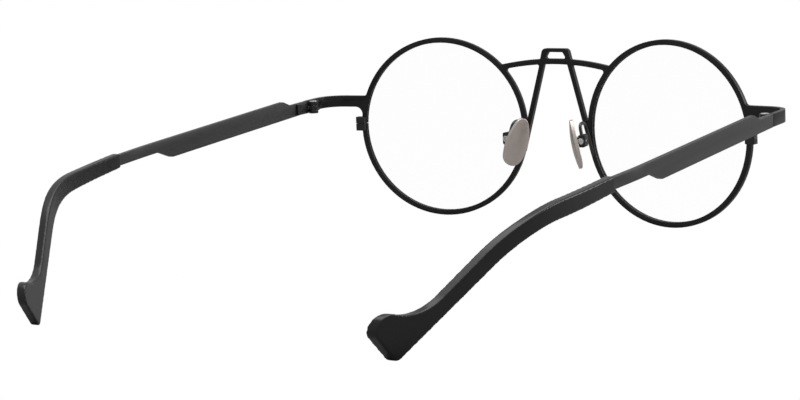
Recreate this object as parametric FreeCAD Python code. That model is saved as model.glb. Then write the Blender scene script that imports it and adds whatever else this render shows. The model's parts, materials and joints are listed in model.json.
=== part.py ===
"""Round metal eyeglasses: a front cut from one sheet, drop loop bridge, screw-on nose pads and two folding temples.

Everything is drawn upright in the frame of the front: X to the wearer's left, Y back along the temples, Z up,
with the origin midway between the lens centres on the back of the rims. The left half is drawn and mirrored.
The last step lays the glasses down on their rims and tips, with the origin under the middle of them.
"""
import FreeCAD, Part
import math
import os

V = FreeCAD.Vector
X_AXIS, Y_AXIS, Z_AXIS = V(1, 0, 0), V(0, 1, 0), V(0, 0, 1)

# ---- driving dimensions, in millimetres and degrees ----
# front
LENS_DIAMETER = 46.1        # over the bevel
BRIDGE_GAP = 19.36          # between the two lenses
SHEET = 1.25                # the front's sheet metal
RIM_WIDTH = 1.35            # width of the rim seen from the front
WRAP = 7.2                  # each rim turns back by this much
GROOVE_DEPTH = 0.45
GROOVE_WIDTH = 0.8
BEVEL_CLEARANCE = 0.05
LENS_THICKNESS = 1.2
LENS_BASE_R = 130.0         # radius of the lens's front surface
SPLIT = 0.12                # saw cut that opens the rim

# bridge
BRIDGE_BEND_X = 14.0        # the sheet is bent in an arc between here and its mirror
BAR_TOP_Z = 18.4
BAR_HEIGHT = 1.4
BAR_END_Z = 16.8            # where the bar's top edge meets the rim
LOOP_TOP_Z = 21.1
LOOP_TOP_HALF = 3.75
LOOP_FOOT_HALF = 4.6
LOOP_BAND = 0.95            # metal over the loop's hole
LOOP_SIDE = 1.45
LEG_WIDTH = 1.25
LEG_TOP_X = 3.2             # inner edge of a leg where it leaves the bar
BRIDGE_CORNER_R = 0.45

# end pieces
END_TOP_Z = 8.2
END_HEIGHT = 3.0
END_BEND_R = 5.6
END_REACH = 9.5             # from the rim's side to the inner face of the temple at the seam
SEAM_Y = 15.2               # where the temple meets the end piece
SEAM_GAP = 0.12
SEAM_TOP_Z = 8.05
SEAM_BOTTOM_Z = 4.95

# hinge
BARREL_R = 1.3
BARREL_TO_STRIP = 0.07      # free space between a barrel and the strip
AXIS_BEFORE_SEAM = 0.8
KNUCKLE_H = 1.0
KNUCKLE_GAP = 0.1
HINGE_BOTTOM_Z = 4.75
PIN_R = 0.55
PIN_FIT = 0.05              # running fit in the temple's knuckle
THREAD_FIT = 0.02
LEAF = 0.6
LEAF_LENGTH = 5.2
HEAD_R = 1.0
HEAD_H = 0.5

# temples
TEMPLE = 1.2                # thickness
SPLAY = 1.0                 # degrees inwards along the wide panel
REAR_SPLAY = 4.0            # degrees inwards along the neck
TIP_SPLAY = 24.3            # degrees inwards along the tip
SHOULDER_Y = 26.9
SHOULDER_Z = 9.2
SHOULDER_RUN = 3.6
DIP_Z = 7.8                 # top edge just in front of the shoulder
NOTCH_Y = 77.3
NOTCH_Z = 1.8
NOTCH_RUN = 5.4
NECK_Z = 3.75               # bottom edge just behind the notch
NECK_TURN_Y = 88.0
NECK_TURN_R = 150.0
NECK_END_Z = 5.5            # top edge where the neck enters the tip
EAR_Y = 120.0               # where the tip bends inwards behind the ear
EAR_TURN_R = 71.0

# temple tips
TIP_START_Y = 99.3
TIP = 2.2                   # thickness
TIP_TOP_Z = 5.9
TIP_START_HEIGHT = 3.4
TIP_BEYOND_EAR = 40.3       # how far the tip runs on behind the ear's bend
CORE_HALF = 0.75            # half the height of the core wire in the tip
CORE = 1.0                  # and its thickness
CORE_FIT = 0.05
CORE_BEYOND_EAR = 26.0
LEAN = 0.17                 # slope of the tip's faces behind the ear
LEAN_Z = -5.0               # height that the lean turns about
LEAN_BEFORE_EAR = 10.0      # the lean begins here
LEAN_RUN = 25.0             # and is full after this distance
LEAN_TALL = 30.0            # half the height of the leaning band
LEAN_STEP = 4.0             # between the stations that the leaning band is drawn through

# nose pads
PAD_CENTRE = V(8.35, 3.6, -2.9)     # middle of a pad's back
PAD_SPLAY = 32.4
PAD_FRONTAL = 8.7
PAD_LEAN = 14.4
PAD = 0.85                  # thickness
PAD_LENGTH = 12.9
PAD_TOP_R = 1.9
PAD_FOOT_R = 3.0
PAD_SIDE_R = 13.0
PAD_CROWN_R = 8.5           # across the pad
PAD_LENGTH_R = 29.0         # along the pad
SCREW_POINT = V(10.7, 3.8, -1.8)    # middle of the pad's screw
SCREW_SPLAY = 8.0
BOX_DEPTH = 2.6             # along the screw
BOX_TALL = 3.2
BOX_OUT = 1.1               # box from the screw's axis to its outer side
BOX_IN = 0.8                # and to its open side
LUG = 1.1
LUG_R = 1.05
LUG_CLEARANCE = 0.08
PAD_PIN_R = 0.5
PAD_HEAD_R = 0.8
WIRE = 0.9                  # diameter of the pad arms
ARM_TOP_Z = 2.35
ARM_FOOT_Z = -6.6
ARM_BEND_R = 1.7

# closing blocks
BLOCK_TOP_Z = 2.5
BLOCK_BOTTOM_Z = -1.2
BLOCK_SPLIT_Z = 0.7
BLOCK_OUT = 1.4             # stands out from the rim
BLOCK_OVER = 1.2            # lies over the rim
BLOCK_BACK = 1.15           # stands back from the rim
BLOCK_FRONT = 0.85          # and comes forward beside it
BLOCK_PIN_R = 0.35
BLOCK_HEAD_R = 0.6

# ---- sizes that follow ----
LENS_R = LENS_DIAMETER / 2
OPENING_R = LENS_R + BEVEL_CLEARANCE - GROOVE_DEPTH
RIM_R = OPENING_R + RIM_WIDTH
CENTRE = V(BRIDGE_GAP / 2 + LENS_R, 0, 0)
TEMPLE_INSIDE_X = CENTRE.x + RIM_R * math.cos(math.radians(WRAP)) + END_REACH
TIP_END_Y = EAR_Y + TIP_BEYOND_EAR
CORE_END_Y = EAR_Y + CORE_BEYOND_EAR
LEAN_START_Y = EAR_Y - LEAN_BEFORE_EAR
WRAP_SLOPE = math.tan(math.radians(WRAP))
SPLAY_SLOPE = math.tan(math.radians(SPLAY))
SPLAY_STRETCH = 1 / math.cos(math.radians(SPLAY))
AXIS_X = TEMPLE_INSIDE_X - BARREL_TO_STRIP - BARREL_R
AXIS_Y = SEAM_Y - AXIS_BEFORE_SEAM
END_BOTTOM_Z = END_TOP_Z - END_HEIGHT
TALL = 120.0                # longer than anything it cuts


# ---- drawing helpers ----
def plan(a, b):
    """A point of an outline drawn from above."""
    return V(a, b, 0)


def front_view(a, b):
    """A point of an outline drawn from the front."""
    return V(a, 0, b)


def side_view(a, b):
    """A point of an outline drawn from the side."""
    return V(0, a, b)


def rounded_edges(corners, view, closed):
    """Lines and tangent arcs through corners given as (a, b, radius)."""
    count = len(corners)
    points = [view(a, b) for a, b, _ in corners]
    ends = []
    arcs = []
    for i in range(count):
        radius = corners[i][2]
        inner = closed or 0 < i < count - 1
        if radius == 0 or not inner:
            ends.append((points[i], points[i]))
            arcs.append(None)
            continue
        back = (points[i - 1] - points[i]).normalize()
        ahead = (points[(i + 1) % count] - points[i]).normalize()
        half = back.getAngle(ahead) / 2
        reach = radius / math.tan(half)
        bisector = (back + ahead).normalize()
        middle = points[i] + bisector * (radius / math.sin(half) - radius)
        start = points[i] + back * reach
        end = points[i] + ahead * reach
        ends.append((start, end))
        arcs.append(Part.Arc(start, middle, end).toShape())
    edges = []
    for i in range(count):
        if arcs[i]:
            edges.append(arcs[i])
        if i < count - 1 or closed:
            start = ends[i][1]
            end = ends[(i + 1) % count][0]
            if start.distanceToPoint(end) > 1e-6:
                edges.append(Part.LineSegment(start, end).toShape())
    return edges


def plate(corners, view, start, depth):
    """A flat plate with a rounded outline, its depth along the way it is viewed."""
    face = Part.Face(Part.Wire(rounded_edges(corners, view, True)))
    normal = view(1, 0).cross(view(0, 1)).normalize()
    face.translate(normal * start)
    return face.extrude(normal * depth)


def offset_route(route, distance):
    """A route of (a, b, radius) moved to its left by a distance, with its bends kept concentric."""
    moved = []
    last = len(route) - 1
    for i, (a, b, radius) in enumerate(route):
        here = V(a, b, 0)
        before = route[max(i - 1, 0)]
        after = route[min(i + 1, last)]
        into = here - V(before[0], before[1], 0) if i > 0 else V(after[0], after[1], 0) - here
        out = V(after[0], after[1], 0) - here if i < last else into
        into = V(into).normalize()
        out = V(out).normalize()
        left = (Z_AXIS.cross(into) + Z_AXIS.cross(out)).normalize()
        stretch = distance / left.dot(Z_AXIS.cross(into))
        turn = into.cross(out).z
        new_radius = radius - distance * math.copysign(1, turn) if radius else 0
        place = here + left * stretch
        moved.append((place.x, place.y, new_radius))
    return moved


def band(route, half, view, start, depth):
    """A strip of constant thickness that follows a route, as wide as its depth."""
    left = rounded_edges(offset_route(route, half), view, False)
    right = rounded_edges(offset_route(route, -half), view, False)
    first = Part.LineSegment(left[0].Vertexes[0].Point, right[0].Vertexes[0].Point).toShape()
    last = Part.LineSegment(left[-1].Vertexes[-1].Point, right[-1].Vertexes[-1].Point).toShape()
    wire = Part.Wire(Part.__sortEdges__(left + right + [first, last]))
    normal = view(1, 0).cross(view(0, 1)).normalize()
    face = Part.Face(wire)
    face.translate(normal * start)
    return face.extrude(normal * depth)


def box(low, high):
    """A block between two corners."""
    size = high - low
    return Part.makeBox(size.x, size.y, size.z, low)


def rod(radius, start, end):
    """A round bar from one point to another."""
    return Part.makeCylinder(radius, start.distanceToPoint(end), start, end - start)


def mirrored(shape):
    """The right-hand twin of a left-hand piece."""
    return shape.mirror(V(0, 0, 0), X_AXIS)


def single(shape):
    """The one solid of a cut or joined shape, without the crumbs a cut can leave."""
    return max(shape.removeSplitter().Solids, key=lambda solid: solid.Volume)


# ---- front ----
def into_rim_plane(shape):
    """Turns a shape drawn about the lens centre back by the wrap and moves it to its rim."""
    shape.rotate(V(0, 0, 0), Z_AXIS, WRAP)
    shape.translate(CENTRE)
    return shape


def disc(radius, front, back):
    """A round plate about the lens's axis, between two distances behind the rim's back face."""
    return rod(radius, V(0, front, 0), V(0, back, 0))


def sheet_middle(along):
    """A point in the middle of the sheet, at a distance outwards from the lens centre."""
    angle = math.radians(WRAP)
    half = SHEET / 2
    x = CENTRE.x + along * math.cos(angle) + half * math.sin(angle)
    y = along * math.sin(angle) - half * math.cos(angle)
    return x, y


def strip_middle(y, thickness):
    """Where the middle of the end piece or temple lies at a distance back."""
    return TEMPLE_INSIDE_X + thickness / 2 * SPLAY_STRETCH - SPLAY_SLOPE * (y - SEAM_Y)


def end_piece_route():
    """From inside the rim, outwards and round the bend to the seam."""
    angle = math.radians(WRAP)
    half = SHEET / 2
    side = strip_middle(SEAM_Y, SHEET)
    reach = side + SPLAY_SLOPE * (SEAM_Y + half * math.cos(angle)) - CENTRE.x - half * math.sin(angle)
    reach /= math.cos(angle) + SPLAY_SLOPE * math.sin(angle)
    inner = sheet_middle(OPENING_R * 0.85)
    corner = sheet_middle(reach)
    seam_y = SEAM_Y - SEAM_GAP / 2
    return [(*inner, 0), (*corner, END_BEND_R + half), (strip_middle(seam_y, SHEET), seam_y, 0)]


def end_piece():
    """The strip that leaves the rim, bends back and carries the hinge."""
    strip = band(end_piece_route(), SHEET / 2, plan, -TALL, 2 * TALL)
    bend_y = sheet_middle(RIM_R)[1] + END_BEND_R / 2
    edge = [
        (-20, END_BOTTOM_Z, 0), (bend_y, END_BOTTOM_Z, 0), (SEAM_Y + 1, SEAM_BOTTOM_Z, 0),
        (SEAM_Y + 1, SEAM_TOP_Z, 0), (bend_y, END_TOP_Z, 0), (-20, END_TOP_Z, 0),
    ]
    return strip.common(plate(edge, side_view, 0, TALL))


def bridge_bend():
    """The curved and flat stretch of the sheet that the bridge is cut from."""
    radius = BRIDGE_BEND_X / math.sin(math.radians(WRAP))
    far_x = CENTRE.x - OPENING_R / 2
    far_y = (far_x - CENTRE.x) * WRAP_SLOPE
    apex_y = -CENTRE.x * WRAP_SLOPE
    back_face = [(-far_x, far_y, 0), (0, apex_y, radius), (far_x, far_y, 0)]
    return band(offset_route(back_face, -SHEET / 2), SHEET / 2, plan, -TALL, 2 * TALL)


def rim_edge_x(z):
    """Where the nose side of the rim's outer edge lies at a height."""
    along = math.sqrt(RIM_R ** 2 - z ** 2)
    return CENTRE.x - along * math.cos(math.radians(WRAP))


def bar_outline():
    """The gently arched bar between the rims, as a face seen from the front."""
    end_x = rim_edge_x(BAR_END_Z) + RIM_WIDTH / 2
    rise = BAR_TOP_Z - BAR_END_Z
    span = rim_edge_x(BAR_END_Z)
    radius = (span ** 2 + rise ** 2) / (2 * rise)
    low_radius = radius - BAR_HEIGHT
    centre_z = BAR_TOP_Z - radius
    edges = []
    for arc_radius in (radius, low_radius):
        end_z = centre_z + math.sqrt(arc_radius ** 2 - end_x ** 2)
        left = V(-end_x, 0, end_z)
        right = V(end_x, 0, end_z)
        edges.append(Part.Arc(left, V(0, 0, centre_z + arc_radius), right).toShape())
    for side in (0, -1):
        top = edges[0].Vertexes[side].Point
        low = edges[1].Vertexes[side].Point
        edges.append(Part.LineSegment(top, low).toShape())
    return Part.Face(Part.Wire(Part.__sortEdges__(edges)))


def leg_corners():
    """A leg from the bar down to where its inner edge runs along the rim's outer edge."""
    scale = math.cos(math.radians(WRAP))
    top_z = BAR_TOP_Z - BAR_HEIGHT / 2
    from_centre = V((CENTRE.x - LEG_TOP_X) / scale, top_z, 0)
    distance = from_centre.Length
    facing = math.atan2(from_centre.y, from_centre.x)
    touch = facing - math.acos(RIM_R / distance)
    normal = V(math.cos(touch), math.sin(touch), 0)
    foot = normal * RIM_R
    corners = [from_centre, foot, foot - normal * LEG_WIDTH, from_centre - normal * LEG_WIDTH]
    return [(CENTRE.x - point.x * scale, point.y, 0) for point in corners]


def loop_corners(inset_side, top_z, foot_z, radius):
    """The loop's outline, or its hole when it is inset."""
    top = LOOP_TOP_HALF - inset_side
    foot = LOOP_FOOT_HALF - inset_side
    return [(-foot, foot_z, 0), (-top, top_z, radius), (top, top_z, radius), (foot, foot_z, 0)]


def fillet_at(shape, spots, radius):
    """Rounds the upright corners that run through the sheet at the given (x, z) spots."""
    chosen = []
    for edge in shape.Edges:
        ends = [vertex.Point for vertex in edge.Vertexes]
        if len(ends) != 2 or abs(ends[0].y - ends[1].y) < SHEET * 0.8:
            continue
        for x, z in spots:
            if all(math.hypot(end.x - x, end.z - z) < 0.7 for end in ends):
                chosen.append(edge)
    if len(chosen) != len(spots):
        print("rounded", len(chosen), "corners of", len(spots), "at", spots)
    return shape.makeFillet(radius, chosen)


def leg_edge_x(z, outward):
    """How far from the middle a leg's edge is at a height, its outer edge being one width outwards."""
    (top_x, top_z, _), (foot_x, foot_z, _), _, (outer_x, _, _) = leg_corners()
    slope = (foot_x - top_x) / (foot_z - top_z)
    return top_x + slope * (z - top_z) + outward * (outer_x - top_x)


def bridge_corners():
    """Radii of the bridge's inside corners, each with the (x, z) places of its left-hand ones."""
    (_, _, _), _, (inner_x, inner_z, _), (outer_x, outer_z, _) = leg_corners()
    along = math.sqrt(2 * RIM_R * LEG_WIDTH - LEG_WIDTH ** 2)
    length = math.hypot(outer_x - inner_x, outer_z - inner_z)
    vertex = (inner_x + (outer_x - inner_x) * along / length, inner_z + (outer_z - inner_z) * along / length)
    under_bar = BAR_TOP_Z - BAR_HEIGHT
    bar_end = BAR_END_Z - BAR_HEIGHT
    return [
        (0.25, [vertex]),
        (0.6, [(rim_edge_x(bar_end), bar_end)]),
        (0.45, [(leg_edge_x(under_bar, 1.1), under_bar), (rim_edge_x(BAR_END_Z), BAR_END_Z)]),
        (0.3, [(leg_edge_x(under_bar, 0), under_bar), (LOOP_FOOT_HALF, BAR_TOP_Z)]),
    ]


def bridge():
    """Bar, raised loop and the two legs, cut from the bent sheet."""
    sheet = bridge_bend()
    bar = bar_outline()
    bar.translate(V(0, TALL / 2, 0))
    shape = bar.extrude(V(0, -TALL, 0))
    foot_z = BAR_TOP_Z - BAR_HEIGHT / 2
    loop = plate(loop_corners(0, LOOP_TOP_Z, foot_z, 1.2), front_view, -TALL / 2, TALL)
    shape = shape.fuse(loop)
    leg = plate(leg_corners(), front_view, -TALL / 2, TALL)
    shape = shape.fuse([leg, mirrored(leg)])
    hole_top = LOOP_TOP_Z - LOOP_BAND
    hole = [
        (LOOP_SIDE - LOOP_FOOT_HALF, BAR_TOP_Z, BRIDGE_CORNER_R),
        (LOOP_SIDE - LOOP_TOP_HALF + 0.2, hole_top, BRIDGE_CORNER_R),
        (LOOP_TOP_HALF - LOOP_SIDE - 0.2, hole_top, BRIDGE_CORNER_R),
        (LOOP_FOOT_HALF - LOOP_SIDE, BAR_TOP_Z, BRIDGE_CORNER_R),
    ]
    shape = shape.cut(plate(hole, front_view, -TALL / 2, TALL))
    return shape.common(sheet)


def groove(radius_extra):
    """The ring that the lens groove is cut with."""
    middle = -SHEET / 2
    half = GROOVE_WIDTH / 2
    top = OPENING_R + GROOVE_DEPTH + radius_extra
    points = [
        V(OPENING_R - 1, middle - half * 3, 0), V(top, middle, 0), V(OPENING_R - 1, middle + half * 3, 0),
    ]
    face = Part.Face(Part.makePolygon(points + [points[0]]))
    return face.revolve(V(0, 0, 0), Y_AXIS, 360)


def lens():
    """A curved lens with a bevel that sits in the groove."""
    back_r = LENS_BASE_R - LENS_THICKNESS
    middle = -SHEET / 2
    edge = LENS_R - GROOVE_DEPTH
    sag = LENS_BASE_R - math.sqrt(LENS_BASE_R ** 2 - edge ** 2)
    front_centre = V(0, middle - LENS_THICKNESS / 2 - sag + LENS_BASE_R, 0)
    outer = Part.makeSphere(LENS_BASE_R, front_centre)
    inner = Part.makeSphere(back_r, front_centre)
    body = disc(edge, -TALL / 10, TALL / 10).common(outer).cut(inner)
    points = [
        V(edge - 1, middle - LENS_THICKNESS * 0.3, 0), V(edge, middle - GROOVE_WIDTH / 2 + BEVEL_CLEARANCE, 0),
        V(LENS_R, middle, 0), V(edge, middle + GROOVE_WIDTH / 2 - BEVEL_CLEARANCE, 0),
        V(edge - 1, middle + LENS_THICKNESS * 0.3, 0),
    ]
    bevel = Part.Face(Part.makePolygon(points + [points[0]])).revolve(V(0, 0, 0), Y_AXIS, 360)
    return into_rim_plane(single(body.fuse(bevel)))


def front_frame():
    """Rims, end pieces and bridge as one piece of sheet."""
    rim = into_rim_plane(disc(RIM_R, -SHEET, 0))
    half = rim.fuse(end_piece())
    top_x = CENTRE.x + math.sqrt(RIM_R ** 2 - END_TOP_Z ** 2) * math.cos(math.radians(WRAP))
    low_x = CENTRE.x + math.sqrt(RIM_R ** 2 - END_BOTTOM_Z ** 2) * math.cos(math.radians(WRAP))
    half = fillet_at(half.removeSplitter(), [(top_x, END_TOP_Z)], 1.0)
    half = fillet_at(half, [(low_x, END_BOTTOM_Z)], 2.0)
    whole = half.fuse([mirrored(half), bridge()]).removeSplitter()
    for radius, spots in bridge_corners():
        both = spots + [(-x, z) for x, z in spots]
        whole = fillet_at(whole, both, radius)
    opening = into_rim_plane(disc(OPENING_R, -TALL, TALL))
    channel = into_rim_plane(groove(0))
    split = into_rim_plane(box(V(OPENING_R - 1, -SHEET - 1, BLOCK_SPLIT_Z - SPLIT / 2),
                               V(RIM_R + 1, 1, BLOCK_SPLIT_Z + SPLIT / 2)))
    for tool in (opening, channel, split):
        whole = whole.cut(tool).cut(mirrored(tool))
    return single(whole)


# ---- closing blocks ----
def closing_blocks():
    """The upper and lower block beside the rim's saw cut, and the screw that draws them together."""
    rim = disc(RIM_R, -SHEET - 1, 0)
    beside = box(V(RIM_R - 0.5, -BLOCK_FRONT, BLOCK_BOTTOM_Z), V(RIM_R + BLOCK_OUT, BLOCK_BACK, BLOCK_TOP_Z))
    over = box(V(RIM_R - BLOCK_OVER, 0, BLOCK_BOTTOM_Z), V(RIM_R + BLOCK_OUT, BLOCK_BACK, BLOCK_TOP_Z))
    block = beside.fuse(over).removeSplitter()
    upright = [edge for edge in block.Edges if edge.BoundBox.XLength + edge.BoundBox.YLength < 1e-6
               and edge.BoundBox.XMin > RIM_R + BLOCK_OUT - 0.01]
    block = block.makeFillet(0.3, upright).cut(rim)
    pin_x = RIM_R + BLOCK_OUT / 2
    pin_y = (BLOCK_BACK - BLOCK_FRONT) / 2
    upper_cut = box(V(0, -10, BLOCK_SPLIT_Z + SPLIT / 2), V(TALL, 10, TALL))
    lower_cut = box(V(0, -10, -TALL), V(TALL, 10, BLOCK_SPLIT_Z - SPLIT / 2))
    bore = rod(BLOCK_PIN_R + THREAD_FIT, V(pin_x, pin_y, BLOCK_BOTTOM_Z - 1), V(pin_x, pin_y, BLOCK_TOP_Z - 0.5))
    seat_z = BLOCK_BOTTOM_Z + HEAD_H * 0.6
    seat = rod(BLOCK_HEAD_R + THREAD_FIT, V(pin_x, pin_y, BLOCK_BOTTOM_Z - 1), V(pin_x, pin_y, seat_z))
    upper = block.common(upper_cut).cut(bore)
    lower = block.common(lower_cut).cut(bore).cut(seat)
    pin = rod(BLOCK_PIN_R, V(pin_x, pin_y, seat_z - 0.1), V(pin_x, pin_y, BLOCK_TOP_Z - 0.7))
    head = rod(BLOCK_HEAD_R, V(pin_x, pin_y, BLOCK_BOTTOM_Z), V(pin_x, pin_y, seat_z))
    slot = box(V(pin_x - 1, pin_y - 0.12, BLOCK_BOTTOM_Z - 1), V(pin_x + 1, pin_y + 0.12, BLOCK_BOTTOM_Z + 0.15))
    screw = pin.fuse(head).cut(slot)
    return [into_rim_plane(single(shape)) for shape in (upper, lower, screw)]


# ---- nose pads ----
def place_pad(shape):
    """Moves a shape drawn on the pad's own axes: -X faces the nose, Z runs up the pad."""
    turn = FreeCAD.Rotation(Z_AXIS, -PAD_SPLAY)
    turn = turn.multiply(FreeCAD.Rotation(Y_AXIS, -PAD_FRONTAL))
    turn = turn.multiply(FreeCAD.Rotation(X_AXIS, PAD_LEAN))
    shape.Placement = FreeCAD.Placement(PAD_CENTRE, turn).multiply(shape.Placement)
    return shape


def at_screw():
    """Where the pad's screw is: its axis is this place's Y, and its -X looks towards the nose."""
    return FreeCAD.Placement(SCREW_POINT, FreeCAD.Rotation(Z_AXIS, -SCREW_SPLAY))


def place_at_screw(shape):
    """Moves a shape drawn about the pad's screw to its place."""
    shape.Placement = at_screw().multiply(shape.Placement)
    return shape


def pad_outline():
    """Egg-shaped outline of tangent arcs: a small round top, a larger round foot and two bowed sides."""
    top = V(0, 0.1, PAD_LENGTH / 2 - PAD_TOP_R)
    foot = V(0, -0.1, PAD_FOOT_R - PAD_LENGTH / 2)
    apart = top.z - foot.z
    to_top = PAD_SIDE_R - PAD_TOP_R
    to_foot = PAD_SIDE_R - PAD_FOOT_R
    drop = (to_top ** 2 - to_foot ** 2 - apart ** 2) / (2 * apart)
    across = math.sqrt(to_foot ** 2 - drop ** 2)
    edges = []
    ends = {}
    for sign in (1, -1):
        centre = V(0, -sign * across, foot.z - drop)
        upper = centre + (top - centre).normalize() * PAD_SIDE_R
        lower = centre + (foot - centre).normalize() * PAD_SIDE_R
        edges.append(Part.Arc(upper, centre + V(0, sign * PAD_SIDE_R, 0), lower).toShape())
        ends[sign] = (upper, lower)
    edges.append(Part.Arc(ends[1][0], top + Z_AXIS * PAD_TOP_R, ends[-1][0]).toShape())
    edges.append(Part.Arc(ends[1][1], foot - Z_AXIS * PAD_FOOT_R, ends[-1][1]).toShape())
    return Part.Face(Part.Wire(Part.__sortEdges__(edges)))


def pad_dome(inset):
    """A solid crowned towards the nose, inset from the pad's face; two of them leave the shell between them."""
    ring_r = PAD_LENGTH_R - PAD_CROWN_R
    centre = V(PAD_LENGTH_R - PAD, 0, 0)
    tube = Part.makeTorus(ring_r, PAD_CROWN_R - inset, centre, Y_AXIS)
    core = Part.makeCylinder(ring_r, 2 * TALL, centre - Y_AXIS * TALL, Y_AXIS)
    return tube.fuse(core)


def nose_pad():
    """The crowned pad with the lug on its back that the screw passes through."""
    blank = pad_outline()
    blank.translate(V(-PAD_CROWN_R / 2, 0, 0))
    blank = blank.extrude(V(PAD_CROWN_R, 0, 0))
    pad = place_pad(blank.common(pad_dome(0)).cut(pad_dome(PAD)))
    half = LUG / 2
    lug = box(V(-BOX_IN * 5, -half, -LUG_R), V(0, half, LUG_R))
    lug = place_at_screw(lug.fuse(rod(LUG_R, V(0, -half, 0), V(0, half, 0))))
    lug = lug.common(place_pad(pad_dome(PAD / 2)))
    bore = place_at_screw(rod(PAD_PIN_R + PIN_FIT, V(0, -TALL, 0), V(0, TALL, 0)))
    return single(pad.fuse(lug.cut(bore)))


def pad_box():
    """The box at the end of the arm, slotted for the lug."""
    half = BOX_DEPTH / 2
    tall = BOX_TALL / 2
    block = box(V(-BOX_IN, -half, -tall), V(BOX_OUT, half, tall))
    long_edges = [edge for edge in block.Edges if edge.BoundBox.YLength > BOX_DEPTH * 0.9]
    block = block.makeFillet(0.5, long_edges)
    slot_half = LUG / 2 + LUG_CLEARANCE
    slot = box(V(-TALL, -slot_half, -LUG_R - 0.25), V(0, slot_half, LUG_R + 0.25))
    slot = slot.fuse(rod(LUG_R + LUG_CLEARANCE, V(0, -slot_half, 0), V(0, slot_half, 0)))
    bore = rod(PAD_PIN_R + THREAD_FIT, V(0, -half + 0.25, 0), V(0, TALL, 0))
    return place_at_screw(single(block.cut(slot).cut(bore)))


def pad_screw():
    """Round head with a cross recess, on the side of the box that faces back."""
    half = BOX_DEPTH / 2
    head_h = HEAD_H * 0.85
    pin = rod(PAD_PIN_R, V(0, -half + 0.35, 0), V(0, half, 0))
    head = rod(PAD_HEAD_R, V(0, half, 0), V(0, half + head_h, 0))
    rim = [edge for edge in head.Edges if edge.BoundBox.YMin > half + head_h - 0.01]
    head = head.makeFillet(0.2, rim)
    screw = pin.fuse(head)
    for width, height in ((0.85, 0.22), (0.22, 0.85)):
        recess = box(V(-width / 2, half + head_h - 0.28, -height / 2), V(width / 2, half + head_h + 1, height / 2))
        screw = screw.cut(recess)
    return place_at_screw(single(screw))


def pad_arm(front, pad_holder):
    """A wire from the back of the rim, up and over in a loop, down to the top of the box."""
    into_box = at_screw().multVec(V(-0.25, -0.25, BOX_TALL / 2 - 0.3))
    foot_x = rim_edge_x(ARM_FOOT_Z) + RIM_WIDTH / 2
    foot = V(foot_x, (foot_x - CENTRE.x) * WRAP_SLOPE, ARM_FOOT_Z)
    rear = V(into_box.x - 0.75, into_box.y - 0.4, ARM_TOP_Z)
    fore = V(rim_edge_x(0) + 0.45, -0.4, ARM_TOP_Z)
    points = [into_box, rear, fore, foot]
    corners = [(0, 0, 0), (1, 0, ARM_BEND_R), (2, 0, ARM_BEND_R), (3, 0, 0)]
    route = Part.Wire(rounded_edges(corners, lambda index, _: points[index], False))
    circle = Part.Wire(Part.makeCircle(WIRE / 2, into_box, rear - into_box))
    wire = route.makePipeShell([circle], True, True)
    end = Part.makeSphere(WIRE / 2, foot)
    return single(wire.fuse(end).cut(front).cut(pad_holder))


# ---- hinge ----
def knuckle_z(index):
    """Bottom of a knuckle, counted from the lowest."""
    return HINGE_BOTTOM_Z + index * (KNUCKLE_H + KNUCKLE_GAP)


def barrel(index, bore):
    """One barrel of the hinge."""
    low = V(AXIS_X, AXIS_Y, knuckle_z(index))
    high = low + Z_AXIS * KNUCKLE_H
    return rod(BARREL_R, low, high), rod(bore, low - Z_AXIS, high + Z_AXIS)


def leaf(low_y, high_y, low_z, high_z):
    """A plate against the inner face of the strip, which it follows."""
    route = [(strip_middle(y, -LEAF), y, 0) for y in (low_y, high_y)]
    return band(route, LEAF / 2, plan, low_z, high_z - low_z)


def hinge_front_knuckle():
    """Leaf on the end piece with the lower and upper barrels."""
    top_z = knuckle_z(2) + KNUCKLE_H
    front_y = SEAM_Y - LEAF_LENGTH
    plate_piece = leaf(front_y, SEAM_Y - SEAM_GAP, HINGE_BOTTOM_Z + 0.3, top_z - 0.2)
    window = box(V(0, AXIS_Y - BARREL_R - 0.15, knuckle_z(1) - KNUCKLE_GAP),
                 V(TALL, SEAM_Y + 1, knuckle_z(1) + KNUCKLE_H + KNUCKLE_GAP))
    shape = plate_piece.cut(window)
    for index in (0, 2):
        solid, bore = barrel(index, PIN_R + THREAD_FIT)
        low = knuckle_z(index)
        web = box(V(AXIS_X, AXIS_Y - BARREL_R, low), V(TEMPLE_INSIDE_X - LEAF / 2, AXIS_Y, low + KNUCKLE_H))
        shape = shape.fuse([solid, web]).cut(bore)
    seat_z = top_z - HEAD_H * 0.6
    seat = rod(HEAD_R + THREAD_FIT, V(AXIS_X, AXIS_Y, seat_z), V(AXIS_X, AXIS_Y, top_z + 1))
    return single(shape.cut(seat))


def hinge_temple_knuckle():
    """Leaf on the temple with the middle barrel."""
    low_z = knuckle_z(1)
    solid, bore = barrel(1, PIN_R + PIN_FIT)
    swing = BARREL_R + 0.12
    leaf_y = AXIS_Y + math.sqrt(swing ** 2 - (TEMPLE_INSIDE_X - LEAF - AXIS_X) ** 2)
    plate_piece = leaf(leaf_y, leaf_y + LEAF_LENGTH, SEAM_BOTTOM_Z - 0.1, SEAM_TOP_Z - 0.3)
    tongue = box(V(AXIS_X + 0.2, AXIS_Y, low_z), V(TEMPLE_INSIDE_X - 0.12, leaf_y + 1, low_z + KNUCKLE_H))
    return single(plate_piece.fuse([solid, tongue]).cut(bore))


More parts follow.
